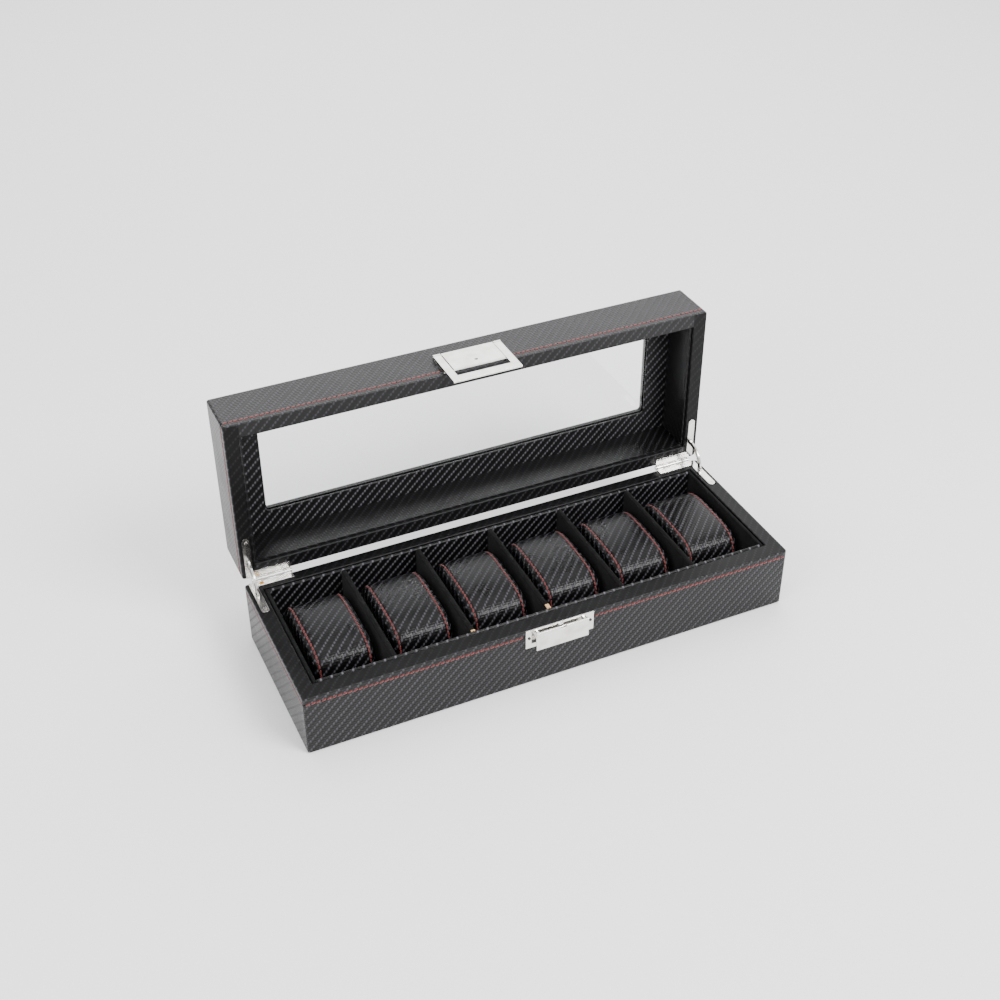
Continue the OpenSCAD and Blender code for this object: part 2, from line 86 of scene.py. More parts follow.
# a quarter turn about the hinge line swaps y and z, less or plus these
turnSum = box["hingeY"] + box["hingeZ"]
turnGap = box["hingeY"] - box["hingeZ"]


# closed position of a point on the lid, in mm; the lid stands at 90 degrees
def shut(point):
    return Vector((point.x / mm, turnSum - point.z / mm, point.y / mm - turnGap))


def standing(point):
    return Vector((point.x / mm, point.y / mm, point.z / mm))


# merged copy of a CAD node; cuts are upright planes at these x through its holes, in mm, so that no flat
# face closes on itself
def nodeCopy(name, cuts=()):
    bm = bmesh.new()
    bm.from_mesh(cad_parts[name].data)
    bmesh.ops.remove_doubles(bm, verts=bm.verts, dist=1e-6)
    for x in cuts:
        everything = bm.verts[:] + bm.edges[:] + bm.faces[:]
        made = bmesh.ops.bisect_plane(bm, geom=everything, dist=1e-6, plane_co=(x * mm, 0, 0),
                                      plane_no=(1, 0, 0))
        for part in made["geom_cut"]:
            if isinstance(part, bmesh.types.BMEdge):
                part.seam = True
    bmesh.ops.dissolve_limit(bm, angle_limit=math.radians(0.4), verts=bm.verts, edges=bm.edges,
                             delimit={"SEAM"})
    return bm


def bevelEdges(bm, edges, width, segments):
    if edges:
        bmesh.ops.bevel(bm, geom=edges, offset=width * mm, offset_type="OFFSET", affect="EDGES",
                        segments=segments, profile=0.5, material=-1, clamp_overlap=False)


def finishPiece(name, bm, materials, body, weighted=True, sharp=40):
    mesh = bpy.data.meshes.new(name)
    bm.to_mesh(mesh)
    bm.free()
    for face in mesh.polygons:
        face.use_smooth = True
    mesh.set_sharp_from_angle(angle=math.radians(sharp))
    piece = bpy.data.objects.new(name, mesh)
    scene.collection.objects.link(piece)
    for material in materials:
        mesh.materials.append(material)
    if weighted:
        normals = piece.modifiers.new("evenFaces", "WEIGHTED_NORMAL")
        normals.keep_sharp = True
    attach(piece, body)
    return piece


# width power, reach and lean of each mark of the weave, in tows, and how high the flat floats stand
twill = {
    "dash": (1.1, 0.66, 0.24), "shadow": (0.75, 0.5, 0.0), "relief": (0.85, 1.0, 0.0), "flatHeight": 0.55,
}


# embossed 2/2 twill: vertical and horizontal floats two tows long, stepping up to the right
def twillPattern(tree, coords, tow):
    def calc(operation, a, b=None, c=None):
        inputs = {0: a}
        if b is not None:
            inputs[1] = b
        if c is not None:
            inputs[2] = c
        return addNode(tree, "ShaderNodeMath", inputs, operation=operation).outputs[0]

    parts = addNode(tree, "ShaderNodeSeparateXYZ", {0: coords})
    across = calc("DIVIDE", parts.outputs[0], tow * mm)
    along = calc("DIVIDE", parts.outputs[1], tow * mm)
    column, row = calc("FLOOR", across), calc("FLOOR", along)
    step = calc("FLOORED_MODULO", calc("SUBTRACT", column, row), 4.0)
    upright = calc("LESS_THAN", step, 1.5)
    inColumn, inRow = calc("FRACT", across), calc("FRACT", along)

    # a float's rounded height, or the short patch on its middle that leans along the diagonal
    def crown(position, lengthwise, power, reach, lean):
        side = calc("MULTIPLY_ADD", position, 2.0, -1.0)
        arch = calc("SUBTRACT", 1.0, calc("MULTIPLY", side, side))
        width = calc("POWER", calc("MAXIMUM", arch, 0.0), power)
        middle = calc("MULTIPLY_ADD", side, lean, 1.0)
        end = calc("ABSOLUTE", calc("DIVIDE", calc("SUBTRACT", lengthwise, middle), reach))
        ends = calc("MAXIMUM", calc("SUBTRACT", 1.0, calc("POWER", end, 2.0)), 0.0)
        return calc("MULTIPLY", width, ends)

    alongUpright = calc("ADD", inRow, calc("SUBTRACT", 1.0, step))
    alongFlat = calc("ADD", inColumn, calc("SUBTRACT", step, 2.0))
    flat = calc("SUBTRACT", 1.0, upright)
    # dash: painted highlight on the upright floats' crowns; shadow: painted shade on the flat floats
    dash = calc("MULTIPLY", upright, crown(inColumn, alongUpright, *twill["dash"]))
    shadow = calc("MULTIPLY", flat, crown(inRow, alongFlat, *twill["shadow"]))
    risen = calc("MULTIPLY", upright, crown(inColumn, alongUpright, *twill["relief"]))
    sunken = calc("MULTIPLY", flat, crown(inRow, alongFlat, *twill["relief"]))
    height = calc("ADD", risen, calc("MULTIPLY", sunken, twill["flatHeight"]))
    return dash, shadow, height


# Polyurethane leatherette, calendered with a carbon-twill emboss: glossy black film on a slightly uneven
# glued-down surface; its upright floats carry rows of short grey dashes of painted highlight, and its flat
# floats a painted shade
leatherLook = {
    "tow": 1.62, "ground": "#0a0a0b", "float": "#4a494e", "shadeTone": "#040405", "roughness": 0.3,
    "floatRoughness": 0.22, "emboss": 0.2, "grain": 0.22, "gloss": 0.26, "floatGloss": 0.08,
}


# the weave lies on the unrolled film, or on flat card by its own x with z (upright) or x + z with y (lining);
# gloss is the specular level of the film between the dashes
# contrast scales the weave's painted highlight and painted shade; the colour given for the floats is their
# painted highlight
def makeLeatherette(name, source, contrast=1.0, roughness=None, emboss=None, highlightTone=None, gloss=None):
    material, tree, shader = startMaterial(name)
    if source == "uv":
        coords = addNode(tree, "ShaderNodeUVMap", uv_map="wrap").outputs[0]
    else:
        place = addNode(tree, "ShaderNodeTexCoord").outputs["Object"]
        if source == "upright":
            coords = addNode(tree, "ShaderNodeMapping", {0: place, 2: (math.radians(-90), 0, 0)}).outputs[0]
        else:
            spot = addNode(tree, "ShaderNodeSeparateXYZ", {0: place})
            aroundCorner = addNode(tree, "ShaderNodeMath", {0: spot.outputs[0], 1: spot.outputs[2]},
                                   operation="ADD")
            coords = addNode(tree, "ShaderNodeCombineXYZ", {0: aroundCorner.outputs[0],
                                                            1: spot.outputs[1]}).outputs[0]
    dash, shadow, height = twillPattern(tree, coords, leatherLook["tow"])
    objectPlace = addNode(tree, "ShaderNodeTexCoord").outputs["Object"]
    drift = addNode(tree, "ShaderNodeTexNoise", {"Vector": objectPlace, "Scale": 45.0, "Detail": 3.0})
    grain = addNode(tree, "ShaderNodeTexNoise", {"Vector": objectPlace, "Detail": 2.0,
                                                 "Scale": 1.0 / (leatherLook["grain"] * mm)})
    # the dashes mix in the floats' painted-highlight colour, the shadow a darker painted shade
    lit = addNode(tree, "ShaderNodeMath", {0: dash, 1: contrast}, operation="MULTIPLY", use_clamp=True)
    sunk = addNode(tree, "ShaderNodeMath", {0: shadow, 1: contrast}, operation="MULTIPLY", use_clamp=True)
    ground = addNode(tree, "ShaderNodeMix", {0: sunk.outputs[0], 6: linear(leatherLook["ground"]),
                                             7: linear(leatherLook["shadeTone"])}, data_type="RGBA")
    colour = addNode(tree, "ShaderNodeMix", {0: lit.outputs[0], 6: ground.outputs[2],
                                             7: linear(highlightTone or leatherLook["float"])}, data_type="RGBA")
    worn = addNode(tree, "ShaderNodeMapRange", {"Value": drift.outputs[0], 1: 0.3, 2: 0.7, 3: 0.88, 4: 1.12})
    shade = addNode(tree, "ShaderNodeVectorMath", {0: colour.outputs[2], 3: worn.outputs[0]},
                    operation="SCALE")
    tree.links.new(shade.outputs[0], shader.inputs["Base Color"])
    base = roughness or leatherLook["roughness"]
    satin = addNode(tree, "ShaderNodeMapRange", {"Value": drift.outputs[0], 1: 0.3, 2: 0.7, 3: base - 0.04,
                                                 4: base + 0.05})
    matter = addNode(tree, "ShaderNodeMath", {0: lit.outputs[0], 1: leatherLook["floatRoughness"],
                                              2: satin.outputs[0]}, operation="MULTIPLY_ADD")
    tree.links.new(matter.outputs[0], shader.inputs["Roughness"])
    shine = addNode(tree, "ShaderNodeMapRange", {"Value": lit.outputs[0], 3: gloss or leatherLook["gloss"],
                                                 4: leatherLook["floatGloss"]})
    tree.links.new(shine.outputs[0], shader.inputs["Specular IOR Level"])
    fine = addNode(tree, "ShaderNodeBump", {"Height": grain.outputs[0], "Strength": 0.25,
                                            "Distance": 0.03 * mm})
    relief = addNode(tree, "ShaderNodeBump", {"Height": height, "Strength": 1.0,
                                              "Distance": (emboss or leatherLook["emboss"]) * mm,
                                              "Normal": fine.outputs[0]})
    glued = addNode(tree, "ShaderNodeBump", {"Height": drift.outputs[0], "Strength": 0.5,
                                             "Distance": 0.25 * mm, "Normal": relief.outputs[0]})
    tree.links.new(glued.outputs[0], shader.inputs["Normal"])
    return material


carbonWrap = makeLeatherette("leatherette_twill_emboss", "uv")
# on the liners and the glass retainer the dashes are a lighter grey, a brighter painted highlight along their
# rounded tops
carbonCard = makeLeatherette("leatherette_twill_card", "upright", highlightTone="#616065")
# the softer grade on the cushions, stretched over the roll: a shallower emboss and less shine
carbonPillow = makeLeatherette("leatherette_twill_stretched", "uv", roughness=0.28, emboss=0.13,
                               highlightTone="#4a494e", gloss=0.2)
# the same film stretched flat over the rim, with a shallow emboss and its painted highlights and painted
# shade turned well down: a shaded copy, for the dark reflection the flat rim sits in
rimWrap = makeLeatherette("leatherette_twill_rim_shaded", "uv", contrast=0.16, roughness=0.38, emboss=0.03,
                          gloss=0.13)
# the middle of the lid's rim band keeps more of the painted highlights than its ends: a lit copy, for the
# stronger highlights that band takes
endWrap = makeLeatherette("leatherette_twill_rim_half_lit", "uv", contrast=0.6, roughness=0.32, emboss=0.1)
insideWrap = makeLeatherette("leatherette_twill_turned_in", "uv", contrast=0.2, roughness=0.42,
                             emboss=0.03)

# Microfibre suede, flocked and brushed: deep black pile with a faint grey bloom and hand-stroked patches
suedeLook = {"pile": "#050505", "bloom": "#121213", "pileSize": 0.35, "stroke": 9}


def makeSuede(name, bloom, roughness=0.92):
    material, tree, shader = startMaterial(name, Roughness=roughness, Specular_IOR_Level=0.12,
                                            Sheen_Weight=0.04, Sheen_Roughness=0.5)
    place = addNode(tree, "ShaderNodeTexCoord").outputs["Object"]
    pile = addNode(tree, "ShaderNodeTexNoise", {"Vector": place, "Scale": 1 / (suedeLook["pileSize"] * mm),
                                                "Detail": 3.0})
    stroke = addNode(tree, "ShaderNodeTexNoise", {"Vector": place, "Scale": 1 / (suedeLook["stroke"] * mm),
                                                  "Detail": 2.0, "Distortion": 0.8})
    both = addNode(tree, "ShaderNodeMath", {0: pile.outputs[0], 1: stroke.outputs[0]}, operation="MULTIPLY")
    amount = addNode(tree, "ShaderNodeMapRange", {"Value": both.outputs[0], 1: 0.15, 2: 0.38})
    colour = addNode(tree, "ShaderNodeMix", {0: amount.outputs[0], 6: linear(suedeLook["pile"]),
                                             7: linear(bloom)}, data_type="RGBA")
    tree.links.new(colour.outputs[2], shader.inputs["Base Color"])
    nap = addNode(tree, "ShaderNodeBump", {"Height": pile.outputs[0], "Strength": 0.5, "Distance": 0.12 * mm})
    tree.links.new(nap.outputs[0], shader.inputs["Normal"])
    return material


suede = makeSuede("suede_brushed_microfibre", suedeLook["bloom"])
liningFilm = makeLeatherette("leatherette_twill_lining", "lining", contrast=0.35, roughness=0.4, emboss=0.08)
felt = makeSuede("felt_pressed_black", "#101011", roughness=1.0)

# Nickel-plated steel, stamped and tumble-polished: bright and near white, with soft smudges and fine scuffs
nickelLook = {"plate": "#eeedea", "dull": "#d6d4cf", "roughness": 0.14}


def makeNickel():
    material, tree, shader = startMaterial("nickel_plated_steel_polished", Metallic=1.0)
    place = addNode(tree, "ShaderNodeTexCoord").outputs["Object"]
    smudge = addNode(tree, "ShaderNodeTexNoise", {"Vector": place, "Scale": 160.0, "Detail": 4.0})
    drawn = addNode(tree, "ShaderNodeMapping", {0: place, 3: (60.0, 900.0, 3000.0)})
    scuff = addNode(tree, "ShaderNodeTexNoise", {"Vector": drawn.outputs[0], "Scale": 1.0, "Detail": 2.0})
    dull = addNode(tree, "ShaderNodeMapRange", {"Value": smudge.outputs[0], 1: 0.4, 2: 0.75})
    colour = addNode(tree, "ShaderNodeMix", {0: dull.outputs[0], 6: linear(nickelLook["plate"]),
                                             7: linear(nickelLook["dull"])}, data_type="RGBA")
    tree.links.new(colour.outputs[2], shader.inputs["Base Color"])
    haze = addNode(tree, "ShaderNodeMapRange", {"Value": smudge.outputs[0], 1: 0.3, 2: 0.7,
                                                3: nickelLook["roughness"] - 0.05,
                                                4: nickelLook["roughness"] + 0.1})
    tree.links.new(haze.outputs[0], shader.inputs["Roughness"])
    lines = addNode(tree, "ShaderNodeBump", {"Height": scuff.outputs[0], "Strength": 0.12,
                                             "Distance": 0.02 * mm})
    tree.links.new(lines.outputs[0], shader.inputs["Normal"])
    return material


nickel = makeNickel()

# Steel brads: dark heads that read as dots on the bright plates, their dark colour partly painted shade for
# the shadow round each head
shadedBrad, bradTree, bradShader = startMaterial("steel_brad_dark_shaded", Metallic=1.0)
bradPlace = addNode(bradTree, "ShaderNodeTexCoord").outputs["Object"]
bradMottle = addNode(bradTree, "ShaderNodeTexNoise", {"Vector": bradPlace, "Scale": 1400.0, "Detail": 2.0})
bradColour = addNode(bradTree, "ShaderNodeMix", {0: bradMottle.outputs[0], 6: linear("#2b2a2c"),
                                                 7: linear("#5d5a57")}, data_type="RGBA")
bradHaze = addNode(bradTree, "ShaderNodeMapRange", {"Value": bradMottle.outputs[0], 3: 0.35, 4: 0.5})
bradTree.links.new(bradColour.outputs[2], bradShader.inputs["Base Color"])
bradTree.links.new(bradHaze.outputs[0], bradShader.inputs["Roughness"])

# Brass screw, turned and left bare: one odd screw in the left base leaf, warmer and duller than the plate
brass, brassTree, brassShader = startMaterial("brass_turned_bare", Metallic=1.0)
brassPlace = addNode(brassTree, "ShaderNodeTexCoord").outputs["Object"]
tarnish = addNode(brassTree, "ShaderNodeTexNoise", {"Vector": brassPlace, "Scale": 900.0, "Detail": 3.0})
brassColour = addNode(brassTree, "ShaderNodeMix", {0: tarnish.outputs[0], 6: linear("#c79a52"),
                                                   7: linear("#8a6330")}, data_type="RGBA")
brassHaze = addNode(brassTree, "ShaderNodeMapRange", {"Value": tarnish.outputs[0], 3: 0.2, 4: 0.42})
brassTree.links.new(brassColour.outputs[2], brassShader.inputs["Base Color"])
brassTree.links.new(brassHaze.outputs[0], brassShader.inputs["Roughness"])

# Polyester sewing thread, twisted and dyed red: matt strands with painted shade along the twist lines between
# the plies and a slight painted highlight on the plies
thread, threadTree, threadShader = startMaterial("polyester_thread_twisted_red", Roughness=0.62,
                                                 Sheen_Weight=0.2)
threadCoords = addNode(threadTree, "ShaderNodeUVMap", uv_map="wrap")
plyTurn = addNode(threadTree, "ShaderNodeMapping", {0: threadCoords.outputs[0], 3: (2.0, 4.0, 1.0)})
plyWave = addNode(threadTree, "ShaderNodeTexWave", {"Vector": plyTurn.outputs[0], "Scale": 0.5},
                  bands_direction="DIAGONAL")
threadPlace = addNode(threadTree, "ShaderNodeTexCoord").outputs["Object"]
dyeLot = addNode(threadTree, "ShaderNodeTexNoise", {"Vector": threadPlace, "Scale": 260.0, "Detail": 2.0})
dyeTone = addNode(threadTree, "ShaderNodeMix", {0: dyeLot.outputs[0], 6: linear("#420908"),
                                                7: linear("#7c1813")}, data_type="RGBA")
plyShade = addNode(threadTree, "ShaderNodeMapRange", {"Value": plyWave.outputs["Fac"], 3: 0.55, 4: 1.1})
threadColour = addNode(threadTree, "ShaderNodeVectorMath", {0: dyeTone.outputs[2], 3: plyShade.outputs[0]},
                       operation="SCALE")
plyBump = addNode(threadTree, "ShaderNodeBump", {"Height": plyWave.outputs["Fac"], "Strength": 0.6,
                                                 "Distance": 0.08 * mm})
threadTree.links.new(threadColour.outputs[0], threadShader.inputs["Base Color"])
threadTree.links.new(plyBump.outputs[0], threadShader.inputs["Normal"])


# Medium-density fibreboard: sawn and bare where a divider's cover has worn through, a tan of pressed fibres;
# the case's boards are coloured black, so nothing pale shows in the hinges' seats and mortises: the black
# stands in partly for the film over them and partly for painted shade in the slots
def makeBoard(name, deep, pale):
    material, tree, shader = startMaterial(name, Roughness=0.85, Specular_IOR_Level=0.2)
    place = addNode(tree, "ShaderNodeTexCoord").outputs["Object"]
    fibres = addNode(tree, "ShaderNodeTexNoise", {"Vector": place, "Scale": 2200.0, "Detail": 4.0})
    colour = addNode(tree, "ShaderNodeMix", {0: fibres.outputs[0], 6: linear(deep), 7: linear(pale)},
                     data_type="RGBA")
    bump = addNode(tree, "ShaderNodeBump", {"Height": fibres.outputs[0], "Strength": 0.6,
                                            "Distance": 0.15 * mm})
    tree.links.new(colour.outputs[2], shader.inputs["Base Color"])
    tree.links.new(bump.outputs[0], shader.inputs["Normal"])
    return material


fibreboard = makeBoard("fibreboard_sawn", "#b98a5a", "#e2c092")
blackedBoard = makeBoard("fibreboard_blacked_out", "#060605", "#14120f")

# Float glass, cut and ground: clear, almost invisible face on, with faint wipe marks in its gloss
glass, glassTree, glassShader = startMaterial("float_glass_clear", Transmission_Weight=1.0, IOR=1.5)
glassShader.inputs["Base Color"].default_value = linear("#fbfdfc")
glassPlace = addNode(glassTree, "ShaderNodeTexCoord").outputs["Object"]
wiped = addNode(glassTree, "ShaderNodeMapping", {0: glassPlace, 3: (20.0, 20.0, 90.0)})
wipeMarks = addNode(glassTree, "ShaderNodeTexNoise", {"Vector": wiped.outputs[0], "Scale": 1.0,
                                                      "Detail": 3.0})
glassHaze = addNode(glassTree, "ShaderNodeMapRange", {"Value": wipeMarks.outputs[0], 1: 0.5, 2: 0.8, 3: 0.0,
                                                      4: 0.03})
glassTree.links.new(glassHaze.outputs[0], glassShader.inputs["Roughness"])

print("materials made")


# The film wrapped round the base and the lid: edges rounded off and cuts for its holes, in mm
wrap = {
    "rimEdge": 0.75, "innerEdge": 0.6, "bottomEdge": 0.56, "grooveEdge": 0.16, "windowEdge": 0.7,
    "grooveHalf": 0.35, "baseCuts": (-140, -20.3, 0, 20.3, 140), "lidCuts": (-150.6, -12, 0, 12, 150.6),
    "wellX": 151.5, "wellY": 48.5, "windowX": 140, "windowY": 40, "endStripX": 145, "turnIn": 14,
    "cornerReach": 1.6, "slack": 0.06,
}


# lays the film round the case: the four walls unroll into one strip, top and bottom carry on from the front
def unrollWrap(bm, toShut):
    layer = bm.loops.layers.uv.new("wrap")
    onLid = toShut is shut
    foot, top = (box["lidRim"], box["lidTop"]) if onLid else (box["underside"], box["baseRim"])
    half = box["halfWidth"] + box["halfDepth"]
    for face in bm.faces:
        n = face.normal
        facing = Vector((n.x, -n.z, n.y)) if onLid else n
        size = [abs(c) for c in facing]
        axis = size.index(max(size))
        for loop in face.loops:
            p = toShut(loop.vert.co)
            if axis == 1:
                u, v = (p.x, p.z) if facing.y < 0 else (2 * half - p.x, p.z)
            elif axis == 0:
                u, v = (-half - p.y, p.z) if facing.x < 0 else (half + p.y, p.z)
            elif facing.z > 0:
                u, v = p.x, top + p.y + box["halfDepth"]
            else:
                u, v = p.x, foot - p.y - box["halfDepth"]
            loop[layer].uv = (u * mm, v * mm)


def onOutline(p):
    inX, inY = box["halfWidth"] - abs(p.x), box["halfDepth"] - abs(p.y)
    inCorner = inX < wrap["cornerReach"] and inY < wrap["cornerReach"]
    return abs(inX) < wrap["slack"] or abs(inY) < wrap["slack"] or inCorner


def edgesAt(bm, toShut, height, where):
    found = []
    for edge in bm.edges:
        a, b = (toShut(v.co) for v in edge.verts)
        if abs(a.z - height) < 0.02 and abs(b.z - height) < 0.02 and where(a) and where(b):
            if edge.is_manifold and edge.calc_face_angle(0) > 0.5:
                found.append(edge)
    return found


def inWell(p):
    return abs(p.x) < wrap["wellX"] and abs(p.y) < wrap["wellY"]


def makeBaseWrap():
    bm = nodeCopy("base_cover", wrap["baseCuts"])
    groove = box["baseRim"] - box["stitchDrop"]
    for height in (groove - wrap["grooveHalf"], groove + wrap["grooveHalf"]):
        bevelEdges(bm, edgesAt(bm, standing, height, onOutline), wrap["grooveEdge"], 2)
    bevelEdges(bm, edgesAt(bm, standing, box["baseRim"], onOutline), wrap["rimEdge"], 4)
    bevelEdges(bm, edgesAt(bm, standing, box["baseRim"], inWell), wrap["innerEdge"], 4)
    bevelEdges(bm, edgesAt(bm, standing, box["underside"], onOutline), wrap["bottomEdge"], 3)
    bmesh.ops.recalc_face_normals(bm, faces=bm.faces)
    unrollWrap(bm, standing)
    for face in bm.faces:
        centre = standing(face.calc_center_median())
        if face.normal.z > 0.9 and centre.z > box["baseRim"] - 0.1:
            face.material_index = 1
        elif inWell(centre):
            face.material_index = 2
    piece = finishPiece("base_wrap", bm, [carbonWrap, rimWrap, insideWrap], "base")
    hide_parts("base_cover")
    return piece


def makeLidWrap():
    bm = nodeCopy("lid_cover", wrap["lidCuts"])
    groove = box["lidRim"] + box["stitchDrop"]

    def atWindow(p):
        return abs(p.x) < wrap["windowX"] and abs(p.y) < wrap["windowY"]

    for height in (groove - wrap["grooveHalf"], groove + wrap["grooveHalf"]):
        bevelEdges(bm, edgesAt(bm, shut, height, onOutline), wrap["grooveEdge"], 2)
    bevelEdges(bm, edgesAt(bm, shut, box["lidRim"], onOutline), wrap["rimEdge"], 4)
    bevelEdges(bm, edgesAt(bm, shut, box["lidRim"], inWell), wrap["innerEdge"], 4)
    bevelEdges(bm, edgesAt(bm, shut, box["lidTop"], onOutline), wrap["rimEdge"], 4)
    bevelEdges(bm, edgesAt(bm, shut, box["lidTop"], atWindow), wrap["windowEdge"], 4)
    bmesh.ops.recalc_face_normals(bm, faces=bm.faces)
    unrollWrap(bm, shut)
    for face in bm.faces:
        centre = shut(face.calc_center_median())
        if face.normal.y < -0.9 and centre.z < box["lidRim"] + 0.1:
            # the rim band's ends take the shaded copy, its middle the lit copy
            face.material_index = 1 if abs(centre.x) > wrap["endStripX"] else 3
        elif inWell(centre) and centre.z < box["lidRim"] + wrap["turnIn"]:
            face.material_index = 2
    piece = finishPiece("lid_wrap", bm, [carbonWrap, rimWrap, insideWrap, endWrap], "lid")
    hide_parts("lid_cover")
    return piece


baseWrap = makeBaseWrap()
lidWrap = makeLidWrap()
print("wraps made:", len(baseWrap.data.polygons), len(lidWrap.data.polygons))


# The red stitched lines: one fat strand per stitch, in mm and degrees
stitch = {
    "length": 3.3, "lengthSpread": 0.15, "pitch": 3.15, "pitchSpread": 0.12, "slant": 20, "slantSpread": 2,
    "halfWidth": 0.82, "halfDepth": 0.42, "sunk": 0.1, "cornerGap": 1.4, "plateGap": 0.8,
}


# one stitch: an egg-ended strand lying along the seam, leaning a little, its ends dipping into the cloth
def addStitch(bm, centre, along, outward, length, lean, halfWidth=stitch["halfWidth"]):
    side = outward.cross(along).normalized()
    turn = Matrix((side, outward, along)).transposed().to_4x4()
    lie = Matrix.Rotation(math.radians(lean), 4, outward)
    size = Matrix.Diagonal((halfWidth * mm, stitch["halfDepth"] * mm, length / 2 * mm, 1))
    bmesh.ops.create_uvsphere(bm, u_segments=8, v_segments=6, radius=1, calc_uvs=True,
                              matrix=Matrix.Translation(centre) @ lie @ turn @ size)


# the line of stitches round the case, skipping what lies under the latch's plates
def makeBoxStitching(name, height, fromShut, body, replaced, seed):
    bm = bmesh.new()
    bm.loops.layers.uv.new("wrap")
    chance = random.Random(seed)
    w, d = box["halfWidth"], box["halfDepth"]
    sides = [
        ((-1, 0), (0, -1), w, d), ((1, 0), (0, 1), w, d), ((0, 1), (-1, 0), d, w), ((0, -1), (1, 0), d, w),
    ]
    for along, outward, reach, off in sides:
        run = 2 * (reach - stitch["cornerGap"])
        count = round(run / stitch["pitch"])
        for i in range(count):
            t = -run / 2 + run * (i + 0.5) / count
            x = along[0] * t + outward[0] * (off - stitch["sunk"])
            y = along[1] * t + outward[1] * (off - stitch["sunk"])
            if outward[1] < 0 and abs(x) < box["latchHalf"] + stitch["plateGap"]:
                continue
            jitter = chance.uniform(-stitch["pitchSpread"], stitch["pitchSpread"])
            centre = fromShut(Vector((x + along[0] * jitter, y + along[1] * jitter, height)))
            here = fromShut(Vector((x, y, height)))
            lengthwise = fromShut(Vector((x + along[0], y + along[1], height))) - here
            offWall = fromShut(Vector((x + outward[0], y + outward[1], height))) - here
            length = stitch["length"] + chance.uniform(-stitch["lengthSpread"], stitch["lengthSpread"])
            slant = stitch["slant"] + chance.uniform(-stitch["slantSpread"], stitch["slantSpread"])
            addStitch(bm, centre, lengthwise.normalized(), offWall.normalized(), length, slant)
    piece = finishPiece(name, bm, [thread], body, weighted=False, sharp=80)
    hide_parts(replaced)


def onBase(p):
    return Vector((p.x * mm, p.y * mm, p.z * mm))


def onOpenLid(p):
    return Vector((p.x * mm, (p.z + turnGap) * mm, (turnSum - p.y) * mm))


makeBoxStitching("base_thread", box["baseRim"] - box["stitchDrop"], onBase, "base", "base_stitching", 3)
makeBoxStitching("lid_thread", box["lidRim"] + box["stitchDrop"], onOpenLid, "lid", "lid_stitching", 4)
print("stitched lines made")


# The watch cushions, in mm: a foam roll on its side, cover sewn with two seams
cushion = {
    "count": 6, "pitch": 49.77, "y": 4.3, "z": 24.0,
    "halfWidth": 19.9, "halfLength": 31.0, "halfHeight": 17.0, "squareness": 3.4, "shoulder": 5.2,
    "voxel": 2.6, "pressure": 4.0, "pressureSpread": 0.08, "pressureStep": 2.3, "frames": 20, "cap": 0.9,
    "seamX": 15.5, "seamDepth": 0.45, "seamSpread": 0.55, "seamReach": 1.25,
    "seamCuts": (-1.3, -0.55, 0, 0.55, 1.3),
    "stitchPitch": 3.1, "stitchLength": 3.1, "stitchHalfWidth": 0.66, "stitchRise": 0.14,
    "stitchSlant": 14, "slantSpread": 4,
}


# point of the roll's flattened oval section, in mm from its centre, at an angle up from the front
def rollPoint(turn):
    a, b, power = cushion["halfLength"], cushion["halfHeight"], cushion["squareness"]
    y, z = -math.cos(turn), math.sin(turn)
    reach = ((abs(y) / a) ** power + (abs(z) / b) ** power) ** (-1 / power)
    return Vector((0, y * reach, z * reach))


# cloth length across the roll, in mm from its middle, following the rounded shoulder
def clothAcross(x):
    level = cushion["halfWidth"] - cushion["shoulder"]
    past = min(max((abs(x) - level) / cushion["shoulder"], 0), 1)
    return math.copysign(min(abs(x), level) + cushion["shoulder"] * math.asin(past), x)


# foam roll as cut, with rounded shoulders
def cutRoll(index):
    bm = bmesh.new()
    ring = bmesh.ops.create_circle(bm, cap_ends=True, segments=64, radius=1)["verts"]
    bmesh.ops.rotate(bm, verts=ring, matrix=Matrix.Rotation(math.radians(90), 3, "Y"))
    for vertex in ring:
        vertex.co = rollPoint(math.atan2(vertex.co.z, -vertex.co.y)) * mm
    bmesh.ops.translate(bm, verts=ring, vec=(-cushion["halfWidth"] * mm, 0, 0))
    grown = bmesh.ops.extrude_face_region(bm, geom=bm.faces[:])
    moved = [v for v in grown["geom"] if isinstance(v, bmesh.types.BMVert)]
    bmesh.ops.translate(bm, verts=moved, vec=(2 * cushion["halfWidth"] * mm, 0, 0))
    bmesh.ops.recalc_face_normals(bm, faces=bm.faces)
    ends = [e for e in bm.edges if e.is_manifold and e.calc_face_angle(0) > 1.2]
    bevelEdges(bm, ends, cushion["shoulder"], 5)
    bmesh.ops.recalc_face_normals(bm, faces=bm.faces)
    centre = Vector(((index - 3.5) * cushion["pitch"], cushion["y"], cushion["z"])) * mm
    bmesh.ops.translate(bm, verts=bm.verts, vec=centre)
    return bm, centre


def applyModifiers(piece):
    graph = bpy.context.evaluated_depsgraph_get()
    mesh = bpy.data.meshes.new_from_object(piece.evaluated_get(graph))
    piece.modifiers.clear()
    piece.data = mesh


def puff(piece, index):
    remesh = piece.modifiers.new("evenCloth", "REMESH")
    remesh.mode = "VOXEL"
    remesh.voxel_size = cushion["voxel"] * mm
    applyModifiers(piece)
    before = [v.co.copy() for v in piece.data.vertices]
    cloth = piece.modifiers.new("stuffing", "CLOTH")
    cloth.settings.use_pressure = True
    fuller = 1 + cushion["pressureSpread"] * math.sin(index * cushion["pressureStep"])
    cloth.settings.uniform_pressure_force = cushion["pressure"] * fuller
    cloth.settings.effector_weights.gravity = 0
    cloth.point_cache.frame_end = cushion["frames"]
    for frameNumber in range(1, cushion["frames"] + 1):
        scene.frame_set(frameNumber)
    applyModifiers(piece)
    for vertex, start in zip(piece.data.vertices, before):
        move = vertex.co - start
        if move.length > cushion["cap"] * mm:
            vertex.co = start + move.normalized() * cushion["cap"] * mm
    scene.frame_set(1)


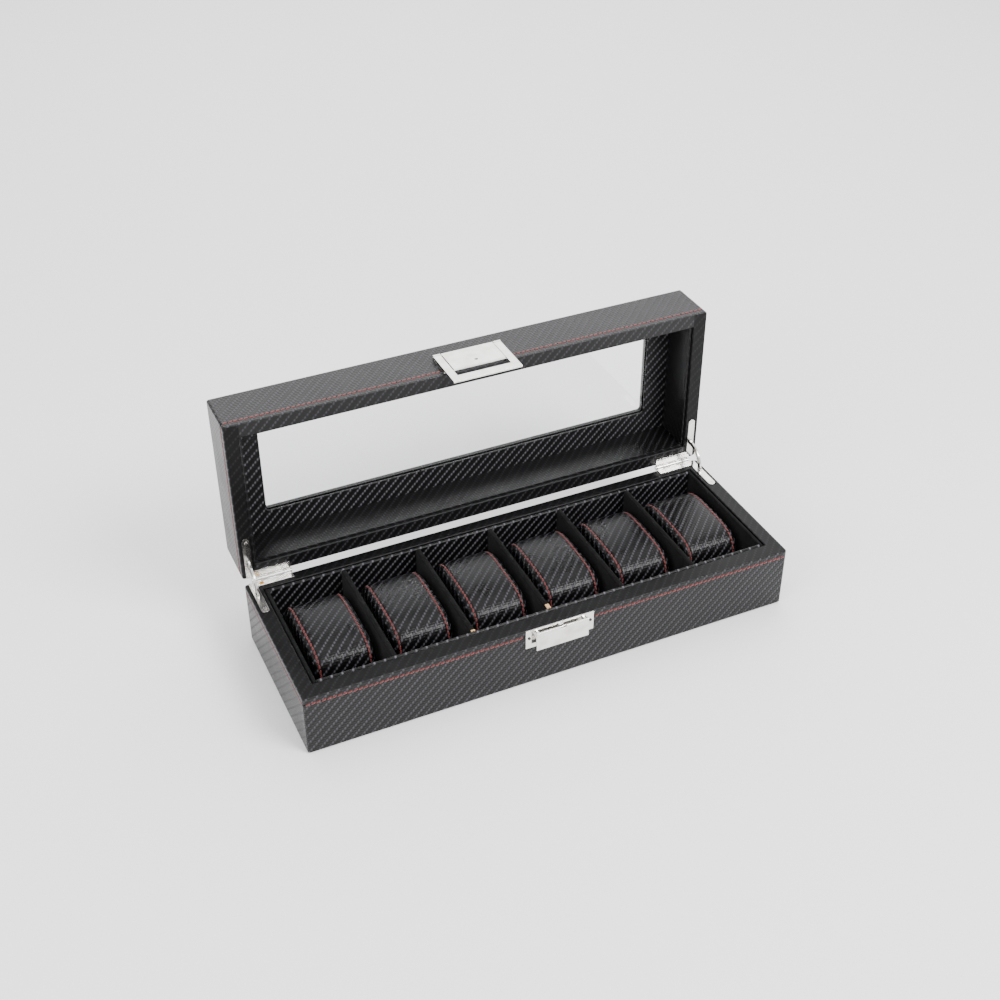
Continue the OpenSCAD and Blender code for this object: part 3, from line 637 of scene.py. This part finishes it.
def sewCushion(piece, centre):
    bm = bmesh.new()
    bm.from_mesh(piece.data)
    bmesh.ops.smooth_vert(bm, verts=bm.verts, factor=0.5, use_axis_x=True, use_axis_y=True, use_axis_z=True)
    for side in (-1, 1):
        for offset in cushion["seamCuts"]:
            x = centre.x + side * (cushion["seamX"] + offset) * mm
            everything = bm.verts[:] + bm.edges[:] + bm.faces[:]
            bmesh.ops.bisect_plane(bm, geom=everything, dist=1e-6, plane_co=(x, 0, 0), plane_no=(1, 0, 0))
    bm.normal_update()
    for vertex in bm.verts:
        away = abs(abs(vertex.co.x - centre.x) / mm - cushion["seamX"])
        if away < cushion["seamReach"]:
            pull = cushion["seamDepth"] * math.exp(-(away / cushion["seamSpread"]) ** 2)
            outward = Vector((0, vertex.normal.y, vertex.normal.z))
            vertex.co -= outward * pull * mm
    # cloth lengths round the roll give the weave its place on it
    layer = bm.loops.layers.uv.new("wrap")
    turns = 360
    section = [rollPoint(2 * math.pi * i / turns) for i in range(turns + 1)]
    lengths = [0]
    for start, end in zip(section, section[1:]):
        lengths.append(lengths[-1] + (end - start).length)
    for face in bm.faces:
        mid = face.calc_center_median() - centre
        midTurn = math.atan2(mid.z, -mid.y) % (2 * math.pi)
        for loop in face.loops:
            p = loop.vert.co - centre
            if abs(face.normal.x) > 0.8:
                loop[layer].uv = (p.y, p.z)
                continue
            turn = math.atan2(p.z, -p.y) % (2 * math.pi)
            if turn - midTurn > math.pi:
                turn -= 2 * math.pi
            elif midTurn - turn > math.pi:
                turn += 2 * math.pi
            at = turn / (2 * math.pi) * turns
            low = math.floor(at)
            base = lengths[low % turns] + (low // turns) * lengths[-1]
            span = lengths[low % turns + 1] - lengths[low % turns]
            loop[layer].uv = (clothAcross(p.x / mm) * mm, (base + (at - low) * span) * mm)
    bm.to_mesh(piece.data)
    bm.free()
    for face in piece.data.polygons:
        face.use_smooth = True


# stitches on the two seams, laid where rays from outside meet the cover
def stitchCushion(name, piece, centre, index):
    bm = bmesh.new()
    bm.loops.layers.uv.new("wrap")
    graph = bpy.context.evaluated_depsgraph_get()
    cover = BVHTree.FromObject(piece, graph)
    chance = random.Random(40 + index)
    for side in (-1, 1):
        x = centre.x + side * cushion["seamX"] * mm
        points = []
        for i in range(720):
            ray = rollPoint(2 * math.pi * i / 720)
            start = Vector((x, centre.y, centre.z)) + ray * 1.6 * mm
            hit, normal, _, _ = cover.ray_cast(start, -ray.normalized())
            if hit:
                points.append((hit, normal))
        total = sum((points[i][0] - points[i - 1][0]).length for i in range(len(points)))
        count = round(total / (cushion["stitchPitch"] * mm))
        travelled, nextAt = 0, chance.uniform(0, 1) * mm
        for i in range(1, len(points)):
            gap = points[i][0] - points[i - 1][0]
            travelled += gap.length
            if travelled >= nextAt:
                nextAt += total / count
                hit, normal = points[i]
                outward = Vector((0, normal.y, normal.z)).normalized()
                along = gap.normalized()
                along = (along - outward * along.dot(outward)).normalized()
                spread, sway = stitch["lengthSpread"], cushion["slantSpread"]
                length = cushion["stitchLength"] + chance.uniform(-spread, spread)
                slant = side * cushion["stitchSlant"] + chance.uniform(-sway, sway)
                addStitch(bm, hit + outward * cushion["stitchRise"] * mm, along, outward, length, slant,
                          cushion["stitchHalfWidth"])
    finishPiece(name, bm, [thread], f"cushion_{index}", weighted=False, sharp=80)


def makeCushion(index):
    bm, centre = cutRoll(index)
    mesh = bpy.data.meshes.new(f"pillow_{index}")
    bm.to_mesh(mesh)
    bm.free()
    piece = bpy.data.objects.new(f"pillow_{index}", mesh)
    scene.collection.objects.link(piece)
    puff(piece, index)
    smooth = piece.modifiers.new("oneSubdivision", "SUBSURF")
    smooth.levels = smooth.render_levels = 1
    applyModifiers(piece)
    sewCushion(piece, centre)
    piece.data.materials.clear()
    piece.data.materials.append(carbonPillow)
    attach(piece, f"cushion_{index}")
    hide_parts(f"cushion_{index}", f"cushion_core_{index}")
    stitchCushion(f"pillow_thread_{index}", piece, centre, index)


for index in range(1, cushion["count"] + 1):
    makeCushion(index)
    print("cushion", index, "made")


# The stamped metalwork, each part with its edges broken, in mm and degrees
metal = {
    "edge": 0.12, "leafEdge": 0.2, "segments": 2, "corner": 35, "brassX": -149.6, "brassY": 52.95,
    "brassReach": 2,
}


def makeMetal(nodeName, pieceName, body, width, materials):
    bm = nodeCopy(nodeName)
    edges = [e for e in bm.edges if e.is_manifold and e.calc_face_angle(0) > math.radians(metal["corner"])]
    bmesh.ops.bevel(bm, geom=edges, offset=width * mm, offset_type="OFFSET", affect="EDGES",
                    segments=metal["segments"], profile=0.5, material=-1, clamp_overlap=True)
    bmesh.ops.recalc_face_normals(bm, faces=bm.faces)
    piece = finishPiece(pieceName, bm, materials, body)
    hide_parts(nodeName)
    return piece


hardware = [
    ("left_base_leaf", "hinge_leaf_base_left", "base"), ("right_base_leaf", "hinge_leaf_base_right", "base"),
    ("left_hinge_pin", "hinge_pin_left", "base"), ("right_hinge_pin", "hinge_pin_right", "base"),
    ("left_lid_leaf", "hinge_leaf_lid_left", "lid"), ("right_lid_leaf", "hinge_leaf_lid_right", "lid"),
    ("lid_hinge_screws", "hinge_screws_lid", "lid"),
    ("catch_plate", "catch_back_plate", "base"), ("catch_pin", "catch_pivot", "base"),
    ("catch_spring", "catch_leaf_spring", "base"), ("catch_nails", "catch_brads", "base"),
    ("hasp_plate", "hasp_back_plate", "lid"), ("hasp_pin", "hasp_pivot", "lid"),
    ("hasp_nails", "hasp_brads", "lid"),
    ("hasp_loop", "hasp_swing_loop", "hasp_loop"), ("catch_lever", "catch_flip_lever", "catch_lever"),
    ("left_stay", "quadrant_stay_left", "left_stay"), ("right_stay", "quadrant_stay_right", "right_stay"),
]
for nodeName, pieceName, body in hardware:
    width = metal["leafEdge"] if nodeName.endswith("_leaf") else metal["edge"]
    makeMetal(nodeName, pieceName, body, width, [shadedBrad] if nodeName == "catch_nails" else [nickel])
baseScrews = makeMetal("base_hinge_screws", "hinge_screws_base", "base", metal["edge"], [nickel, brass])
for face in baseScrews.data.polygons:
    offX, offY = face.center.x - metal["brassX"] * mm, face.center.y - metal["brassY"] * mm
    if math.hypot(offX, offY) < metal["brassReach"] * mm:
        face.material_index = 1
print("metalwork made")


# Bare board where the front top corners of two dividers have worn, in mm
wear = {"width": 2.6, "proud": 0.06, "rounding": 0.45, "roughLow": -0.09, "roughHigh": 0.03}


def makeBareCorner(number, drop, depth):
    low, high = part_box(f"divider_{number}")
    centreX = (low.x + high.x) / 2
    bm = bmesh.new()
    size = Matrix.Diagonal((wear["width"] * mm, depth * mm, drop * mm, 1))
    spot = Vector((centreX, low.y + (depth / 2 - wear["proud"]) * mm,
                   high.z - (drop / 2 - wear["proud"]) * mm))
    bmesh.ops.create_cube(bm, size=1, matrix=Matrix.Translation(spot) @ size)
    bmesh.ops.bevel(bm, geom=bm.edges[:], offset=wear["rounding"] * mm, offset_type="OFFSET",
                    affect="EDGES", segments=3, profile=0.5, material=-1, clamp_overlap=True)
    bmesh.ops.subdivide_edges(bm, edges=bm.edges[:], cuts=2, use_grid_fill=True)
    chance = random.Random(number)
    for vertex in bm.verts:
        vertex.co += vertex.normal * chance.uniform(wear["roughLow"], wear["roughHigh"]) * mm
    finishPiece(f"divider_core_{number}", bm, [fibreboard], "base", weighted=False, sharp=60)


makeBareCorner(2, 1.9, 1.7)
makeBareCorner(3, 3.0, 4.2)


# Finishes on the parts that keep their drawn shape
finishes = {
    "base_underlay": felt, "tray_floor": suede, "liner_left": suede, "liner_right": suede,
    "liner_front": carbonCard, "liner_rear": carbonCard, "glass_retainer": carbonCard,
    "lid_lining": liningFilm, "lid_glass": glass,
}
for number in range(1, 6):
    finishes[f"divider_{number}"] = suede
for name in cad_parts:
    if name.endswith("_board") or name == "lid_top_frame":
        finishes[name] = blackedBoard
for name, finish in finishes.items():
    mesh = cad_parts[name].data
    mesh.materials.clear()
    mesh.materials.append(finish)

# padded cards have rounded edges, in mm, which catch a thin line of light
cardEdges = {f"divider_{number}": 0.8 for number in range(1, 6)}
cardEdges.update({
    "liner_left": 0.7, "liner_right": 0.7, "liner_front": 0.5, "liner_rear": 0.5, "glass_retainer": 0.4,
})
for name, width in cardEdges.items():
    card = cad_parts[name]
    weld = card.modifiers.new("joinCorners", "WELD")
    weld.merge_threshold = 0.001 * mm
    bevel = card.modifiers.new("roundedEdge", "BEVEL")
    bevel.width = width * mm
    bevel.segments = 4
    bevel.limit_method = "ANGLE"
print("finishes set")


# Floor, light and camera
floorMesh = bpy.data.meshes.new("studio_floor")
bm = bmesh.new()
bmesh.ops.create_grid(bm, x_segments=1, y_segments=1, size=6)
bm.to_mesh(floorMesh)
bm.free()
studioFloor = bpy.data.objects.new("studio_floor", floorMesh)
scene.collection.objects.link(studioFloor)
paper, _, paperShader = startMaterial("paper_backdrop_matt", Roughness=0.9)
paperShader.inputs["Base Color"].default_value = linear("#fafafa")
floorMesh.materials.append(paper)

world = bpy.data.worlds.new("studio_white")
world.use_nodes = True
world.node_tree.nodes["Background"].inputs[0].default_value = (1, 1, 1, 1)
world.node_tree.nodes["Background"].inputs[1].default_value = 1.1
scene.world = world


def softbox(name, at, aim, size, power):
    light = bpy.data.lights.new(name, "AREA")
    light.shape = "RECTANGLE"
    light.size, light.size_y = size
    light.energy = power
    lamp = bpy.data.objects.new(name, light)
    lamp.location = at
    lamp.rotation_euler = (Vector(aim) - Vector(at)).to_track_quat("-Z", "Y").to_euler()
    scene.collection.objects.link(lamp)


softbox("key_softbox", (0.55, -0.94, 1.2), (0, 0, 0.05), (0.7, 0.6), 30)
softbox("left_softbox", (-1.3, -0.35, 0.75), (0, 0, 0.05), (1.2, 0.9), 16)
softbox("top_softbox", (0.2, 0.5, 1.5), (0, 0, 0.05), (1.4, 1.0), 8)
softbox("rear_softbox", (0.5, 1.2, 0.95), (0, 0, 0.08), (1.7, 1.1), 14)

view = {
    "azimuth": -24.59, "elevation": 36.19, "roll": -0.25, "distance": 877.27, "aim": (-13.14, 0, 98.53),
    "lens": 53.08,
}
azimuth, elevation, roll = (math.radians(view[k]) for k in ("azimuth", "elevation", "roll"))
back = Vector((math.sin(azimuth) * math.cos(elevation), -math.cos(azimuth) * math.cos(elevation),
               math.sin(elevation)))
level = Vector((math.cos(azimuth), math.sin(azimuth), 0))
upward = back.cross(level)
right = level * math.cos(roll) + upward * math.sin(roll)
up = upward * math.cos(roll) - level * math.sin(roll)
camData = bpy.data.cameras.new("studio_camera")
camData.lens = view["lens"]
camData.sensor_width = 36
camera = bpy.data.objects.new("studio_camera", camData)
turn = Matrix((right, up, back)).transposed().to_4x4()
camera.matrix_world = Matrix.Translation((Vector(view["aim"]) + back * view["distance"]) * mm) @ turn
scene.collection.objects.link(camera)
scene.camera = camera
